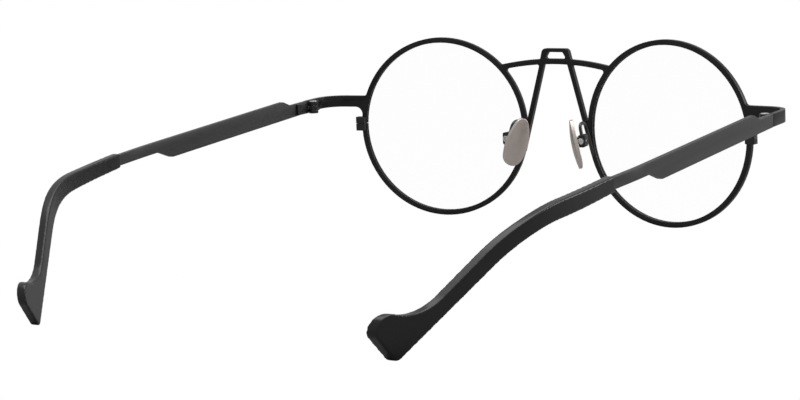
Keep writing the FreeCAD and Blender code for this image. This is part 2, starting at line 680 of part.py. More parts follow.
def hinge_screw():
    """Slotted screw that is the hinge's pin."""
    top_z = knuckle_z(2) + KNUCKLE_H
    seat_z = top_z - HEAD_H * 0.6
    pin = rod(PIN_R, V(AXIS_X, AXIS_Y, HINGE_BOTTOM_Z + 0.1), V(AXIS_X, AXIS_Y, seat_z))
    head = rod(HEAD_R, V(AXIS_X, AXIS_Y, seat_z), V(AXIS_X, AXIS_Y, seat_z + HEAD_H))
    slot_z = seat_z + HEAD_H - 0.2
    slot = box(V(AXIS_X - 2, AXIS_Y - 0.13, slot_z), V(AXIS_X + 2, AXIS_Y + 0.13, slot_z + 1))
    return single(pin.fuse(head).cut(slot))


# ---- temples ----
def temple_route(thickness_of_strip, from_y, to_y):
    """The middle of the temple seen from above, from the seam to a distance back."""
    first = (strip_middle(from_y, thickness_of_strip), from_y, 0)
    turn_x = strip_middle(NECK_TURN_Y, thickness_of_strip)
    rear_slope = math.tan(math.radians(REAR_SPLAY))
    bend_x = turn_x - rear_slope * (EAR_Y - NECK_TURN_Y)
    end_x = bend_x - math.tan(math.radians(TIP_SPLAY)) * (to_y - EAR_Y)
    return [first, (turn_x, NECK_TURN_Y, NECK_TURN_R), (bend_x, EAR_Y, EAR_TURN_R), (end_x, to_y, 0)]


def top_edge_z(y):
    """The straight top edge from the shoulder to the tip."""
    slope = (NECK_END_Z - SHOULDER_Z) / (TIP_START_Y - SHOULDER_Y)
    return SHOULDER_Z + slope * (y - SHOULDER_Y)


def bottom_of_neck_z(y):
    """The straight bottom edge of the neck, level with the top edge."""
    rise = NECK_Z - top_edge_z(NOTCH_Y + NOTCH_RUN)
    return top_edge_z(y) + rise


def ramp(share):
    """Rises smoothly from 0 to 1."""
    share = min(max(share, 0.0), 1.0)
    return share * share * (3 - 2 * share)


def leaning_band(half):
    """The strip behind the ear: along the tip it leans over, so that its lower edge tucks in towards the head."""
    route = Part.Wire(rounded_edges(temple_route(TEMPLE, SEAM_Y, TIP_END_Y + 10), plan, False))
    middle = [point for point in route.discretize(Distance=LEAN_STEP) if point.y > NECK_TURN_Y + LEAN_STEP]
    sections = []
    for index, point in enumerate(middle):
        along = middle[min(index + 1, len(middle) - 1)] - middle[max(index - 1, 0)]
        outward = V(along.y, -along.x, 0).normalize() * half
        lean = LEAN * ramp((point.y - LEAN_START_Y) / LEAN_RUN)
        upper = V(point.x + lean * (LEAN_TALL - LEAN_Z), point.y, LEAN_TALL)
        lower = V(point.x - lean * (LEAN_TALL + LEAN_Z), point.y, -LEAN_TALL)
        corners = [upper + outward, upper - outward, lower - outward, lower + outward]
        sections.append(Part.makePolygon(corners + [corners[0]]))
    return Part.makeLoft(sections, True, False)


def core_route():
    """The core wire seen from the side, through the middle of the tip."""
    top = tip_corners()
    start_z = TIP_TOP_Z - TIP_START_HEIGHT / 2
    bend = ((top[1][0] + top[-2][0]) / 2, (top[1][1] + top[-2][1]) / 2)
    slope = (top[2][1] - top[1][1]) / (top[2][0] - top[1][0])
    end_z = bend[1] + slope * (CORE_END_Y - bend[0])
    return [(TIP_START_Y - 2, start_z + 0.1, 0), (*bend, 32.0), (CORE_END_Y, end_z, 0)]


def temple():
    """Flat temple: hinge end, shoulder, wide panel, notch, neck, and the core wire inside the tip."""
    seam_y = SEAM_Y + SEAM_GAP / 2
    strip = band(temple_route(TEMPLE, seam_y, TIP_END_Y), TEMPLE / 2, plan, -TALL, 2 * TALL)
    neck_start = NOTCH_Y + NOTCH_RUN
    end_y = TIP_START_Y + 0.6
    edge = [
        (SEAM_Y - 1, SEAM_TOP_Z, 0), (SHOULDER_Y - SHOULDER_RUN, DIP_Z, 2.5), (SHOULDER_Y, SHOULDER_Z, 2.0),
        (end_y, top_edge_z(end_y), 0), (end_y, bottom_of_neck_z(end_y), 0),
        (neck_start, NECK_Z, 4.0), (NOTCH_Y, NOTCH_Z, 2.5), (SEAM_Y - 1, SEAM_BOTTOM_Z, 0),
    ]
    blade = strip.common(plate(edge, side_view, 0, TALL))
    core = leaning_band(CORE / 2).common(band(core_route(), CORE_HALF, side_view, 0, TALL))
    return single(blade.fuse(core))


def tip_corners():
    """The tip seen from the side: a straight start, the bend behind the ear and the flared end."""
    return [
        (TIP_START_Y, TIP_TOP_Z, 0.4),
        (EAR_Y + 9.7, 3.2, 34.0),
        (EAR_Y + 30.5, -14.7, 10.0),
        (EAR_Y + 40.2, -11.4, 3.1),
        (TIP_END_Y, -16.4, 1.6),
        (EAR_Y + 35.0, -22.6, 0.8),
        (EAR_Y + 8.7, -0.75, 30.0),
        (TIP_START_Y, TIP_TOP_Z - TIP_START_HEIGHT, 0.4),
    ]


def temple_tip():
    """The moulded tip over the core wire."""
    tip = leaning_band(TIP / 2).common(plate(tip_corners(), side_view, 0, TALL))
    hollow = band(temple_route(TEMPLE, SEAM_Y, TIP_END_Y + 10), TEMPLE / 2 + CORE_FIT, plan, -TALL, 2 * TALL)
    route = core_route()
    slope = (route[2][1] - route[1][1]) / (route[2][0] - route[1][0])
    route[2] = (CORE_END_Y + 0.5, route[2][1] + slope * 0.5, 0)
    pocket = leaning_band(CORE / 2 + CORE_FIT).common(band(route, CORE_HALF + CORE_FIT, side_view, 0, TALL))
    mouth = box(V(0, TIP_START_Y - 5, -TALL), V(TALL, TIP_START_Y + 0.65, TALL))
    neck = hollow.common(mouth).common(plate(neck_corners(), side_view, 0, TALL))
    return single(tip.cut(pocket).cut(neck))


def neck_corners():
    """The neck's end with clearance, which the tip's mouth is cut with."""
    start = TIP_START_Y - 5
    end = TIP_START_Y + 2
    fit = CORE_FIT
    return [
        (start, top_edge_z(start) + fit, 0), (end, top_edge_z(end) + fit, 0),
        (end, bottom_of_neck_z(end) - fit, 0), (start, bottom_of_neck_z(start) - fit, 0),
    ]


# ---- assembly ----
def build():
    """Every piece by name, upright in the frame of the front."""
    front = front_frame()
    holder = pad_box()
    upper, lower, closing_screw = closing_blocks()
    left = {
        "lens": lens(),
        "closing_block_upper": upper,
        "closing_block_lower": lower,
        "closing_screw": closing_screw,
        "pad_arm": pad_arm(front, holder),
        "pad_box": holder,
        "pad_screw": pad_screw(),
        "nose_pad": nose_pad(),
        "hinge_front_knuckle": hinge_front_knuckle(),
        "hinge_temple_knuckle": hinge_temple_knuckle(),
        "hinge_screw": hinge_screw(),
        "temple": temple(),
        "temple_tip": temple_tip(),
    }
    pieces = {"front_frame": front}
    for name, shape in left.items():
        pieces[name + "_left"] = shape
        pieces[name + "_right"] = mirrored(shape)
    return pieces


def lowest(shape):
    """The height of a shape's lowest point."""
    return shape.optimalBoundingBox(False).ZMin


def lay_down(pieces):
    """Tips the glasses until rims and tips both touch the table, and centres them on it."""
    pitch = 0.0
    for _ in range(4):
        turn = FreeCAD.Rotation(X_AXIS, pitch)
        front = pieces["front_frame"].copy()
        tip = pieces["temple_tip_left"].copy()
        for shape in (front, tip):
            shape.Placement = FreeCAD.Placement(V(0, 0, 0), turn).multiply(shape.Placement)
        higher = lowest(tip) - lowest(front)
        pitch -= math.degrees(math.atan2(higher, tip.optimalBoundingBox(False).YMax))
    turn = FreeCAD.Placement(V(0, 0, 0), FreeCAD.Rotation(X_AXIS, pitch))
    for shape in pieces.values():
        shape.Placement = turn.multiply(shape.Placement)
    whole = Part.makeCompound(list(pieces.values())).optimalBoundingBox(False)
    shift = V(-(whole.XMin + whole.XMax) / 2, -(whole.YMin + whole.YMax) / 2, -whole.ZMin)
    for shape in pieces.values():
        shape.translate(shift)
    return turn, shift, whole


def report_place(name, point, turn, shift):
    """Prints where a point of the front's frame lies once the glasses are laid down."""
    place = turn.multVec(point) + shift
    print(f"{name}: {place.x:.3f} {place.y:.3f} {place.z:.3f} mm")


os.makedirs("parts", exist_ok=True)
pieces = build()
turn, shift, whole = lay_down(pieces)
for name, shape in pieces.items():
    if not shape.isValid() or len(shape.Solids) != 1:
        print("look at", name, "valid", shape.isValid(), "solids", len(shape.Solids))
    shape.exportStep(f"parts/{name}.step")
print(f"size {whole.XLength:.2f} x {whole.YLength:.2f} x {whole.ZLength:.2f} mm, pitch {turn.Rotation.Angle:.5f} rad")
report_place("hinge axis left", V(AXIS_X, AXIS_Y, knuckle_z(1)), turn, shift)
report_place("pad screw left", SCREW_POINT, turn, shift)
report_place("lens centre left", CENTRE, turn, shift)
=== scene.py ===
# %% [markdown]
# # Round wire glasses
# The pair lies on a table with its temples open, as after being taken off. Its shape comes from
# an engineering model: every part is already there, at its real size, as bare grey metal with
# knife-sharp corners. This lesson gives each part what a workshop gives it last: rounded edges,
# lacquer, polish, and the small wires and screws. Lengths are in metres, so a millimetre is
# written as `1 * MM`.

# %% Load the engineering model
import json
import math

import bmesh
import bpy
from mathutils import Matrix, Vector


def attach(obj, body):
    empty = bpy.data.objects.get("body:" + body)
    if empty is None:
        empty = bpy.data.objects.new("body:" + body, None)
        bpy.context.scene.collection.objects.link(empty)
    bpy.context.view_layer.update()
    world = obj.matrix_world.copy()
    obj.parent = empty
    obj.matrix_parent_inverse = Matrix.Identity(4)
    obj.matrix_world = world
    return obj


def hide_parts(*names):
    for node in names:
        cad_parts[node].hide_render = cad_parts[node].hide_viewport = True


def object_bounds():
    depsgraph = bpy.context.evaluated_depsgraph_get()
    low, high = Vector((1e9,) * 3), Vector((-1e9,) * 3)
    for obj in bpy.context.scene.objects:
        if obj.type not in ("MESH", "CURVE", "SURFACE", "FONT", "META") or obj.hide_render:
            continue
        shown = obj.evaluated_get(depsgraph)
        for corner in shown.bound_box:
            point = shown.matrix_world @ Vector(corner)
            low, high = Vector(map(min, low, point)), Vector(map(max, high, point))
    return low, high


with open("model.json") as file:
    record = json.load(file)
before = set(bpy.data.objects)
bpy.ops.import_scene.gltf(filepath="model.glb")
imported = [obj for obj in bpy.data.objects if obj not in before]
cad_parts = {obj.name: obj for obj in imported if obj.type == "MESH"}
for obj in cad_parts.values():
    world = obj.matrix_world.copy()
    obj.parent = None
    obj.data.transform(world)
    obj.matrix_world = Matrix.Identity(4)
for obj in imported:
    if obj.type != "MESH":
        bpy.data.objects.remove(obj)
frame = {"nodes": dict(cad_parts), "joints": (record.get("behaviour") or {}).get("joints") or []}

MM = 0.001
SIDES = ("left", "right")
whole_low, whole_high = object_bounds()
whole_size = [round(side / MM, 1) for side in whole_high - whole_low]
print("parts:", len(frame["nodes"]), "size in mm:", whole_size)

# %% [markdown]
# ## The camera
# It stands behind the wearer's left shoulder and a little above the table, and looks at the
# inside of the front. A long lens keeps the near tip from looking swollen. The three directions
# of the camera are written out, because the camera leans by two degrees, which a plain "look at
# this point" would lose.

# %% Set up the camera
CAMERA_PLACE = (-0.25513, 0.41652, 0.09242)
ACROSS = Vector((-0.85551, -0.51641, -0.03758))
UPWARD = Vector((0.04672, -0.14927, 0.98769))
BACKWARD = ACROSS.cross(UPWARD)
long_lens = bpy.data.cameras.new("long_lens")
long_lens.lens = 96.4
long_lens.sensor_width = 36.0
long_lens.clip_start = 10 * MM
camera = bpy.data.objects.new("camera", long_lens)
turned = Matrix((ACROSS, UPWARD, BACKWARD)).transposed().to_4x4()
camera.matrix_world = Matrix.Translation(CAMERA_PLACE) @ turned
bpy.context.scene.collection.objects.link(camera)
bpy.context.scene.camera = camera
print("camera looks along", [round(part, 3) for part in -BACKWARD])

# %% [markdown]
# ## Writing a material as a sum
# A procedural material is a net of small nodes. Wiring them one by one hides what they work out,
# so this class wraps one output of a node and teaches Python's `+`, `-`, `*` and `**` to add the
# matching Math node. After that `0.3 + grain * 0.1` is a line of code and a piece of the net at
# once. `Net.add` makes any other node: first its settings, because they decide which sockets it
# has, then the values or wires of its sockets.

# %% A wire and a net
class Wire:
    """One output of a node, ready to be used in a sum."""

    def __init__(self, net, socket):
        self.net = net
        self.socket = socket

    def sum_of(self, operation, first, second):
        terms = {0: first, 1: second}
        return self.net.add("ShaderNodeMath", {"operation": operation}, terms)

    def __add__(self, other):
        return self.sum_of("ADD", self, other)

    def __radd__(self, other):
        return self.sum_of("ADD", other, self)

    def __sub__(self, other):
        return self.sum_of("SUBTRACT", self, other)

    def __rsub__(self, other):
        return self.sum_of("SUBTRACT", other, self)

    def __mul__(self, other):
        return self.sum_of("MULTIPLY", self, other)

    def __rmul__(self, other):
        return self.sum_of("MULTIPLY", other, self)

    def __pow__(self, other):
        return self.sum_of("POWER", self, other)

    def out(self, name):
        """Another output of the same node."""
        return Wire(self.net, self.socket.node.outputs[name])


class Net:
    """A node tree that is filled from Python, for a material or for Geometry Nodes."""

    def __init__(self, tree):
        self.tree = tree

    def add(self, kind, settings=None, sockets=None, take=0):
        node = self.tree.nodes.new(kind)
        for name, value in (settings or {}).items():
            setattr(node, name, value)
        for name, value in (sockets or {}).items():
            if isinstance(value, Wire):
                self.tree.links.new(value.socket, node.inputs[name])
            else:
                node.inputs[name].default_value = value
        return Wire(self, node.outputs[take]) if node.outputs else node


def limited(wire):
    """The same value, kept between 0 and 1."""
    return wire.net.add("ShaderNodeClamp", {}, {"Value": wire})


# %% [markdown]
# ## A finish
# Every finish here is one Principled shader. Numbers that are the same everywhere, such as how
# strongly the lacquer mirrors, are set on the shader itself. Colour, roughness and the bump are
# worked out over the surface, from noise that is laid out in the piece's own space in real
# millimetres.

# %% Start a finish
OBJECT_SPACE = 3                              # where a Texture Coordinate node gives Object
MIX_SHARE, MIX_FIRST, MIX_SECOND = 0, 6, 7    # the sockets that a Mix node uses for colours
MIX_COLOUR = 2                                # and the output that carries their mix
NOISE_SHIFT = (0.5, 0.25, 0.5 / 3)            # keeps the middle of the noise off the object


class Finish:
    """A material with one Principled shader, and helpers for what varies over the surface."""

    def __init__(self, name, **constants):
        self.material = bpy.data.materials.new(name)
        self.material.use_nodes = True
        self.net = Net(self.material.node_tree)
        self.shader = self.material.node_tree.nodes["Principled BSDF"]
        for socket, value in constants.items():
            self.shader.inputs[socket.replace("_", " ")].default_value = value
        self.place = self.net.add("ShaderNodeTexCoord", take=OBJECT_SPACE)
        self.bumps = None

    def noise(self, size, detail=2.0, stretch=(1, 1, 1)):
        """Smooth noise with lumps about `size` metres across, from 0 to 1."""
        place = self.net.add("ShaderNodeMapping", {}, {
            "Vector": self.place, "Scale": stretch, "Location": NOISE_SHIFT})
        return self.net.add("ShaderNodeTexNoise", {}, {
            "Vector": place, "Scale": 1 / size, "Detail": detail})

    def blend(self, share, first, second):
        """A colour between two colours."""
        def solid(colour):
            return colour if isinstance(colour, Wire) else (*colour, 1.0)
        return self.net.add(
            "ShaderNodeMix", {"data_type": "RGBA"},
            {MIX_SHARE: share, MIX_FIRST: solid(first), MIX_SECOND: solid(second)},
            take=MIX_COLOUR)

    def edge_mask(self, low, high):
        """1 on outward corners, where a finish wears first and where a paler colour paints a
        highlight, and 0 elsewhere.
        """
        sharpness = self.net.add("ShaderNodeNewGeometry").out("Pointiness")
        return self.net.add("ShaderNodeMapRange", {}, {
            "Value": sharpness, "From Min": low, "From Max": high})

    def bump(self, height, depth):
        """Adds relief of `depth` metres where height is 1."""
        sockets = {"Height": height, "Distance": depth, "Strength": 1.0}
        if self.bumps is not None:
            sockets["Normal"] = self.bumps
        self.bumps = self.net.add("ShaderNodeBump", {}, sockets)

    def done(self, colour, roughness, **others):
        """Plugs the worked-out values into the shader."""
        wires = {"Base Color": colour, "Roughness": roughness, **others}
        if self.bumps is not None:
            wires["Normal"] = self.bumps
        for socket, wire in wires.items():
            self.net.tree.links.new(wire.socket, self.shader.inputs[socket])
        print("finish", self.material.name, "with", len(self.net.tree.nodes), "nodes")
        return self.material


# %% [markdown]
# ## Satin black lacquer
# The front, the temples and the closing blocks are sheet metal sprayed black and baked. Sprayed
# lacquer isn't mirror-flat: it has a faint orange peel, lumps about half a millimetre across and
# less than a micron high, and the gloss changes slowly over the piece. On outward corners it is
# thinner and rubbed smooth, so they shine a little more, and their colour is painted paler: partly
# as wear, and partly as a painted highlight along the edge. One function makes all the lacquers,
# because they differ only in how matt and how grey they are.

# %% Mix the lacquers
CLOUD_SIZE = 9 * MM
PEEL_SIZE, PEEL_DEPTH = 0.6 * MM, 0.004 * MM
DUST_SIZE, DUST_DEPTH = 0.22 * MM, 0.0012 * MM
WEAR_AND_HIGHLIGHT_SHARE = 0.35        # how far an outward corner takes on the paler colour of wear and painted highlight
WEAR_AND_HIGHLIGHT_LIFT = 1.8          # and how much paler that colour is


def lacquer(name, black, grey, smooth, matt, mirror):
    finish = Finish(name, Specular_IOR_Level=mirror, IOR=1.5)
    cloud = finish.noise(CLOUD_SIZE, 3.0)
    grain = finish.noise(DUST_SIZE, 3.0)
    peel = finish.noise(PEEL_SIZE, 2.0)
    # Outward corners are less rough from wear, and painted paler: partly wear, partly a painted
    # highlight.
    wear_and_highlight = finish.edge_mask(0.52, 0.62)
    base = finish.blend(cloud, (black,) * 3, (grey, grey, grey * 1.06))
    colour = finish.blend(wear_and_highlight * WEAR_AND_HIGHLIGHT_SHARE, base, (grey * WEAR_AND_HIGHLIGHT_LIFT,) * 3)
    finish.bump(peel, PEEL_DEPTH)
    finish.bump(grain, DUST_DEPTH)
    roughness = limited(smooth + cloud * (matt - smooth) + grain * 0.06 - wear_and_highlight * 0.08)
    return finish.done(colour, roughness)


FRONT_LACQUER = lacquer(
    "front_lacquer", black=0.004, grey=0.008, smooth=0.30, matt=0.40, mirror=0.30)
TEMPLE_LACQUER = lacquer(
    "temple_lacquer", black=0.012, grey=0.018, smooth=0.36, matt=0.46, mirror=0.55)
BLOCK_LACQUER = lacquer(
    "block_lacquer", black=0.008, grey=0.014, smooth=0.34, matt=0.44, mirror=0.40)
HINGE_LACQUER = lacquer(
    "hinge_lacquer", black=0.006, grey=0.012, smooth=0.26, matt=0.38, mirror=0.45)

# %% [markdown]
# ## Gloss black wire
# The pad arms are soft wire that is bent first and dipped afterwards, so their lacquer is thicker
# and glossier, with long slow waves along the wire instead of orange peel.

# %% Dip the wire
def wire_gloss():
    finish = Finish("wire_gloss", Specular_IOR_Level=0.5, IOR=1.5,
                    Coat_Weight=0.4, Coat_Roughness=0.08)
    waves = finish.noise(1.6 * MM, 2.0)
    specks = finish.noise(0.15 * MM, 2.0)
    finish.bump(waves, 0.01 * MM)
    colour = finish.blend(specks, (0.004, 0.004, 0.004), (0.012, 0.012, 0.013))
    return finish.done(colour, limited(0.16 + waves * 0.12))


WIRE_GLOSS = wire_gloss()

# %% [markdown]
# ## Bare metals
# Two parts stay uncoated. The screws are turned steel: a lathe tool leaves rings finer than the
# eye separates, seen as a soft streak. The nose pads are pressed from titanium sheet and blasted
# to a warm satin silver, with fine grain and slow clouds of darker tone. In both the whole colour
# comes from reflection, so Metallic is 1.

# %% Turn the steel and blast the pads
def turned_steel():
    finish = Finish("turned_steel", Metallic=1.0)
    streaks = finish.noise(0.09 * MM, 3.0, stretch=(1, 1, 4))
    tarnish = finish.noise(0.7 * MM, 3.0)
    finish.bump(streaks, 0.002 * MM)
    colour = finish.blend(tarnish, (0.80, 0.79, 0.78), (0.58, 0.57, 0.56))
    return finish.done(colour, limited(0.14 + streaks * 0.16))


def blasted_titanium():
    finish = Finish("blasted_titanium", Metallic=1.0)
    cloud = finish.noise(3.2 * MM, 3.0)
    grain = finish.noise(0.10 * MM, 3.0)
    # The pad's outward corners are painted a paler silver: partly rubbing wear, partly a painted
    # highlight along the rim.
    wear_and_highlight = finish.edge_mask(0.51, 0.60)
    base = finish.blend(cloud, (0.66, 0.59, 0.55), (0.54, 0.48, 0.45))
    colour = finish.blend(wear_and_highlight * 0.7, base, (0.86, 0.83, 0.81))
    finish.bump(grain, 0.004 * MM)
    return finish.done(colour, limited(0.30 + grain * 0.12 + cloud * 0.06 - wear_and_highlight * 0.16))


SCREW_STEEL = turned_steel()
PAD_TITANIUM = blasted_titanium()

# %% [markdown]
# ## Polished acetate
# The temple tips are cut from black acetate and tumbled in barrels until they shine. Tumbling
# leaves very long, very low waves and a few hairline scratches that run along the tip. Acetate is
# a plastic, so it mirrors weakly and evenly, and its black is deep.

# %% Polish the acetate
def polished_acetate():
    finish = Finish("polished_acetate", Specular_IOR_Level=0.42, IOR=1.48)
    waves = finish.noise(7 * MM, 2.0)
    hairs = finish.noise(0.12 * MM, 2.0, stretch=(1, 0.03, 1))
    dust = finish.noise(0.3 * MM, 4.0)
    finish.bump(waves, 0.02 * MM)
    finish.bump(hairs, 0.0002 * MM)
    colour = finish.blend(dust, (0.003, 0.003, 0.003), (0.007, 0.007, 0.008))
    return finish.done(colour, limited(0.18 + waves * 0.10 + hairs * 0.05))


TIP_ACETATE = polished_acetate()

# %% [markdown]
# ## Clear lenses
# A lens shows itself by what it mirrors and hardly by its body. Real refraction through a closed
# glass body also throws a hard dark shadow in a path tracer, so the lens is let through by Alpha
# instead: almost nothing in the middle, a little more where the view grazes it.

# %% Clear the lens
MIDDLE_COVER = 0.015       # how much of the light a lens stops where it is looked at squarely
EDGE_COVER = 0.22          # and how much more at a grazing view


def clear_lens():
    finish = Finish("clear_lens", Specular_IOR_Level=0.5, IOR=1.5)
    smear = finish.noise(14 * MM, 2.0)
    graze = finish.net.add("ShaderNodeLayerWeight", {}, {"Blend": 0.25}).out("Facing")
    colour = finish.blend(smear, (0.94, 0.96, 0.96), (0.98, 0.99, 0.99))
    cover = limited(MIDDLE_COVER + graze ** 4 * EDGE_COVER)
    return finish.done(colour, limited(0.02 + smear * 0.02), Alpha=cover)


LENS_GLASS = clear_lens()

# %% [markdown]
# ## Rounding the corners
# No real edge is sharp: stamping rolls it, tumbling wears it, lacquer fills it, and the rounded
# corner is what catches the light. A copy of the engineering mesh arrives as loose triangles, so
# its corners are merged first, flat fans of triangles are dissolved into whole faces, and then a
# Bevel modifier rounds every corner sharper than an angle. The copy takes the place of the part
# that it came from.

# %% A rounded copy of a part
SAME_POINT = 0.0005 * MM           # corners closer than this are one corner
FLAT_FAN = math.radians(0.6)       # triangles that turn less than this are one face
SHARP_CORNER = math.radians(28)    # a corner that turns more than this is rounded


def merged_copy(node):
    """A part's mesh with its loose triangles joined and its flat fans made whole."""
    mesh = frame["nodes"][node].data.copy()
    shell = bmesh.new()
    shell.from_mesh(mesh)
    bmesh.ops.remove_doubles(shell, verts=shell.verts, dist=SAME_POINT)
    bmesh.ops.dissolve_limit(shell, angle_limit=FLAT_FAN, verts=shell.verts, edges=shell.edges)
    for face in shell.faces:
        face.smooth = True
    shell.to_mesh(mesh)
    shell.free()
    return mesh


def rounded(node, body, finish, edge, steps=3):
    """Rounds the corners of a copy by `edge` metres and lets it take the part's place."""
    piece = bpy.data.objects.new(node + "_finished", merged_copy(node))
    bpy.context.scene.collection.objects.link(piece)
    bevel = piece.modifiers.new("rounded_edges", "BEVEL")
    bevel.width = edge
    bevel.segments = steps
    bevel.limit_method = "ANGLE"
    bevel.angle_limit = SHARP_CORNER
    bevel.use_clamp_overlap = True
    bevel.harden_normals = True
    piece.data.materials.clear()
    piece.data.materials.append(finish)
    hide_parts(node)
    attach(piece, body)
    print(piece.name, "rounded by", round(edge / MM, 2), "mm")


# %% [markdown]
# ## The sheet metal, in lacquer
# Rims, bridge and end pieces are one piece of sheet, so they are rounded and lacquered as one.
# The temples are cut from the same sheet. The blocks, boxes and hinge barrels are small, and get
# smaller radii. The two lenses keep the corners that they came with, because the rims hide them,
# and only get their material.

# %% Finish the sheet metal and the lenses
SHEET_EDGE = 0.16 * MM
BLOCK_EDGE = 0.14 * MM
BOX_EDGE = 0.12 * MM
KNUCKLE_EDGE = 0.10 * MM
rounded("front_frame", "front", FRONT_LACQUER, SHEET_EDGE)
for side in SIDES:
    temple_body = f"temple_{side}_body"
    for half in ("upper", "lower"):
        rounded(f"closing_block_{half}_{side}", "front", BLOCK_LACQUER,
                BLOCK_EDGE, 2)
    rounded(f"pad_box_{side}", "front", BLOCK_LACQUER, BOX_EDGE, 2)
    rounded(f"hinge_front_knuckle_{side}", "front", HINGE_LACQUER, KNUCKLE_EDGE, 2)
    rounded(f"hinge_temple_knuckle_{side}", temple_body, HINGE_LACQUER,
            KNUCKLE_EDGE, 2)
    rounded(f"temple_{side}", temple_body, TEMPLE_LACQUER, SHEET_EDGE)
    clear = frame["nodes"][f"lens_{side}"].data.materials
    clear.clear()
    clear.append(LENS_GLASS)

# %% [markdown]
# ## Tumbled tips and pads
# A tip comes out of the tumbling barrel with every corner rubbed round, so a bevel of one width
# would look machined. The pressed nose pads are rounded all over too. Wear is closer to what a
# voxel remesh and some smoothing do: the skin is rebuilt from small even squares, and then each
# point is pulled towards its neighbours, which hardly moves a flat face and melts a corner.

# %% Tumble the tips and the pads
TIP_GRAIN, TIP_PASSES = 0.2 * MM, 14
PAD_GRAIN, PAD_PASSES = 0.1 * MM, 8


def tumbled(node, body, finish, grain, passes):
    """Rebuilds a copy from squares of `grain` metres, wears it, and gives it the part's place."""
    piece = bpy.data.objects.new(node + "_finished", merged_copy(node))
    bpy.context.scene.collection.objects.link(piece)
    skin = piece.modifiers.new("even_skin", "REMESH")
    skin.mode = "VOXEL"
    skin.voxel_size = grain
    wear = piece.modifiers.new("wear", "SMOOTH")
    wear.factor = 0.5
    wear.iterations = passes
    ready = piece.evaluated_get(bpy.context.evaluated_depsgraph_get())
    piece.data = bpy.data.meshes.new_from_object(ready)
    piece.modifiers.clear()
    piece.data.shade_smooth()
    piece.data.materials.clear()
    piece.data.materials.append(finish)
    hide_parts(node)
    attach(piece, body)
    print(piece.name, len(piece.data.polygons), "faces")


for side in SIDES:
    tumbled(f"temple_tip_{side}", f"temple_{side}_body", TIP_ACETATE,
            TIP_GRAIN, TIP_PASSES)
    tumbled(f"nose_pad_{side}", f"nose_pad_{side}_body", PAD_TITANIUM,
            PAD_GRAIN, PAD_PASSES)

# %% [markdown]
# ## Growing pieces from a rule
# Wires and screws follow simple rules: a wire is a round section along a bent line, and a screw
# is a pin with a domed head and a recess. Geometry Nodes write such a rule once, with its sizes
# as named inputs, and run it for every place. A tree gets a few points and gives back finished
# metal, which is then kept as a plain mesh.

# %% Start a tree and run it
def new_rule(name, sizes):
    """An empty Geometry Nodes tree with its named sizes: the net, and a wire from its input."""
    tree = bpy.data.node_groups.new(name, "GeometryNodeTree")
    sockets = tree.interface
    sockets.new_socket("Geometry", in_out="INPUT", socket_type="NodeSocketGeometry")
    for label, value in sizes.items():
        size = sockets.new_socket(label, in_out="INPUT", socket_type="NodeSocketFloat")
        size.default_value = value
    sockets.new_socket("Geometry", in_out="OUTPUT", socket_type="NodeSocketGeometry")
    net = Net(tree)
    return net, net.add("NodeGroupInput")


def end_rule(net, geometry, finish):
    """Makes the instances real, paints them, and closes the tree."""
    real = net.add("GeometryNodeRealizeInstances", {}, {"Geometry": geometry})
    smooth = net.add("GeometryNodeSetShadeSmooth", {}, {"Geometry": real})
    painted = net.add("GeometryNodeSetMaterial", {}, {"Geometry": smooth, "Material": finish})
    net.add("NodeGroupOutput", {}, {"Geometry": painted})
    print("rule", net.tree.name, "with", len(net.tree.nodes), "nodes")
    return net.tree


def grown(name, tree, sizes, points, edges=(), facing=()):
    """Runs a tree on a few points and keeps the plain mesh that it makes."""
    seeds = bpy.data.meshes.new(name + "_seeds")
    seeds.from_pydata(points, edges, [])
    if facing:
        seeds.attributes.new("facing", "FLOAT_VECTOR", "POINT")
        for item, direction in zip(seeds.attributes["facing"].data, facing):
            item.vector = direction
    carrier = bpy.data.objects.new(name + "_carrier", seeds)
    bpy.context.scene.collection.objects.link(carrier)
    rule = carrier.modifiers.new("rule", "NODES")
    rule.node_group = tree
    for item in tree.interface.items_tree:
        if item.in_out == "INPUT" and item.name in sizes:
            rule[item.identifier] = sizes[item.name]
    ready = carrier.evaluated_get(bpy.context.evaluated_depsgraph_get())
    piece = bpy.data.objects.new(name, bpy.data.meshes.new_from_object(ready))
    bpy.data.objects.remove(carrier)
    bpy.context.scene.collection.objects.link(piece)
    print(name, len(piece.data.polygons), "faces")
    return piece


# %% [markdown]
# ## The pad arms
# Each nose pad hangs on a wire that is soldered to the back of the rim, climbs over in a loop and
# drops into the pad's box. The line has only four points: its bends come from Fillet Curve, as a
# bending tool makes them with one radius. At the rim the solder has crept up the wire, so the
# last stretch grows thicker.

# %% Write the rule for a bent wire
SOLDER_START = 0.93        # the share of the line after which the wire thickens
SOLDER_RISE = 14.0         # one over the share in which it reaches its full thickness


def bent_wire_rule():
    net, sizes = new_rule("bent_wire", {
        "Wire Diameter": 0.9 * MM, "Bend Radius": 1.7 * MM, "Solder": 0.35})
    line = net.add("GeometryNodeMeshToCurve", {}, {"Mesh": sizes})
    bent = net.add("GeometryNodeFilletCurve", {"mode": "POLY"}, {
        "Curve": line, "Radius": sizes.out("Bend Radius"), "Count": 12, "Limit Radius": True})
    even = net.add("GeometryNodeResampleCurve", {"mode": "LENGTH"}, {
        "Curve": bent, "Length": 0.12 * MM})
    along = net.add("GeometryNodeSplineParameter")
    creep = limited((along - SOLDER_START) * SOLDER_RISE) ** 2.0
    thick = net.add("GeometryNodeSetCurveRadius", {}, {
        "Curve": even, "Radius": creep * sizes.out("Solder") + 1.0})
    section = net.add("GeometryNodeCurvePrimitiveCircle", {}, {
        "Resolution": 20, "Radius": sizes.out("Wire Diameter") * 0.5})
    wire = net.add("GeometryNodeCurveToMesh", {}, {
        "Curve": thick, "Profile Curve": section, "Fill Caps": True})
    return end_rule(net, wire, WIRE_GLOSS)


BENT_WIRE = bent_wire_rule()

# %% [markdown]
# The line's points are written from the pad's screw, which the engineering model names as the
# place that the pad rocks about: millimetres sideways away from the nose, back towards the ear,
# and up.

